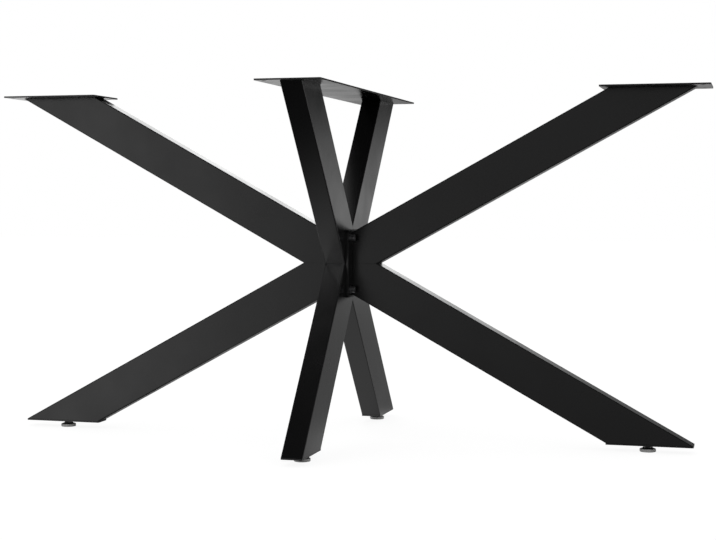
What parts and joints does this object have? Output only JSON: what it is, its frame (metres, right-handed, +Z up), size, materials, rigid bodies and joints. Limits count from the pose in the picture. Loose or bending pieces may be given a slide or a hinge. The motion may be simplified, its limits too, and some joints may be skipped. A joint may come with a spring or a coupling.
{
  "type": "table base",
  "caption": "Dining table base of black steel tube: an X frame across the centre, a mitred V wing bolted to each side of it, drilled top plates and levelling feet.",
  "frame": {"origin": "on the floor, under the middle of the base", "axes": "+X along the wings to the right, +Y across the base to the rear, +Z up"},
  "size_m": [1.446, 0.73, 0.7],
  "materials": {
    "powder_coat": "satin black powder coat",
    "black_screw": "black oxide",
    "zinc_steel": "zinc plated",
    "black_plastic": "moulded satin",
    "grey_glide": "matt"
  },
  "bodies": {
    "frame": {"right_upper_arm": "powder_coat", "right_lower_arm": "powder_coat", "right_joint_plate": "powder_coat", "right_joint_bolts": "black_screw", "right_joint_washers": "black_screw", "right_joint_bushes": "zinc_steel", "right_top_plate": "powder_coat", "left_upper_arm": "powder_coat", "left_lower_arm": "powder_coat", "left_joint_plate": "powder_coat", "left_joint_bolts": "black_screw", "left_joint_washers": "black_screw", "left_joint_bushes": "zinc_steel", "left_top_plate": "powder_coat", "front_upper_leg": "powder_coat", "front_lower_leg": "powder_coat", "rear_upper_leg": "powder_coat", "rear_lower_leg": "powder_coat", "centre_top_plate": "powder_coat", "right_foot_plate": "powder_coat", "left_foot_plate": "powder_coat", "front_foot_plate": "powder_coat", "rear_foot_plate": "powder_coat", "right_foot_nut": "zinc_steel", "left_foot_nut": "zinc_steel", "front_foot_nut": "zinc_steel", "rear_foot_nut": "zinc_steel"},
    "right_foot": {"right_foot_stud": "zinc_steel", "right_foot_collar": "black_plastic", "right_foot_glide": "grey_glide"},
    "left_foot": {"left_foot_stud": "zinc_steel", "left_foot_collar": "black_plastic", "left_foot_glide": "grey_glide"},
    "front_foot": {"front_foot_stud": "zinc_steel", "front_foot_collar": "black_plastic", "front_foot_glide": "grey_glide"},
    "rear_foot": {"rear_foot_stud": "zinc_steel", "rear_foot_collar": "black_plastic", "rear_foot_glide": "grey_glide"}
  },
  "joints": [
    {"name": "right_foot_screw", "type": "slide", "parent": "frame", "child": "right_foot", "axis": [0, 0, 1], "range_m": [-0.012, 0.0015]},
    {"name": "left_foot_screw", "type": "slide", "parent": "frame", "child": "left_foot", "axis": [0, 0, 1], "range_m": [-0.012, 0.0015]},
    {"name": "front_foot_screw", "type": "slide", "parent": "frame", "child": "front_foot", "axis": [0, 0, 1], "range_m": [-0.012, 0.0015]},
    {"name": "rear_foot_screw", "type": "slide", "parent": "frame", "child": "rear_foot", "axis": [0, 0, 1], "range_m": [-0.012, 0.0015]}
  ]
}
